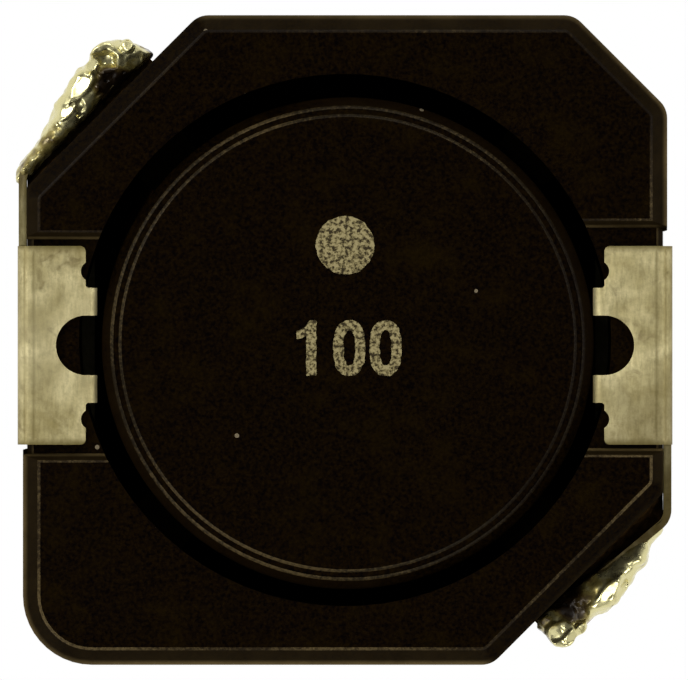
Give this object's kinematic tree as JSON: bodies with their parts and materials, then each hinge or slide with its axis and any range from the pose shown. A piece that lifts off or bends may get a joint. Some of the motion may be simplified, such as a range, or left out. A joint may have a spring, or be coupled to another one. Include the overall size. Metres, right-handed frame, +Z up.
{
  "type": "shielded smd power inductor",
  "caption": "Low square power inductor for surface mounting: a wound ferrite drum in the bore of a ferrite ring with cut corners, held by tinned clips that fold under as solder pads.",
  "frame": {"origin": "centre of the footprint, on the plane of the two solder pads", "axes": "+Z up out of the board; +X towards terminal_right; +Y along the clip sides, towards the small corner cut; the wire ends are at the -X +Y and the +X -Y corner"},
  "size_m": [0.0123, 0.0122, 0.006],
  "materials": {
    "ring_ferrite": "pressed and sintered manganese-zinc ferrite, near-black brown, fine matt grain",
    "drum_ferrite": "pressed and sintered ferrite, near-black brown, fine matt grain with a worn rim",
    "enamelled_copper": "round copper wire under clear polyurethane enamel",
    "tinned_sheet": "stamped sheet with a dull tin plating, straw-grey",
    "solder": "bright lumpy tin solder",
    "black_epoxy": "dark cured epoxy"
  },
  "bodies": {
    "root": {"ring_core": "ring_ferrite", "drum_core": "drum_ferrite", "coil_wire": "enamelled_copper", "terminal_left": "tinned_sheet", "terminal_right": "tinned_sheet", "solder_joint_left": "solder", "solder_joint_right": "solder", "core_adhesive_1": "black_epoxy", "core_adhesive_2": "black_epoxy", "core_adhesive_3": "black_epoxy", "core_adhesive_4": "black_epoxy"}
  },
  "joints": []
}
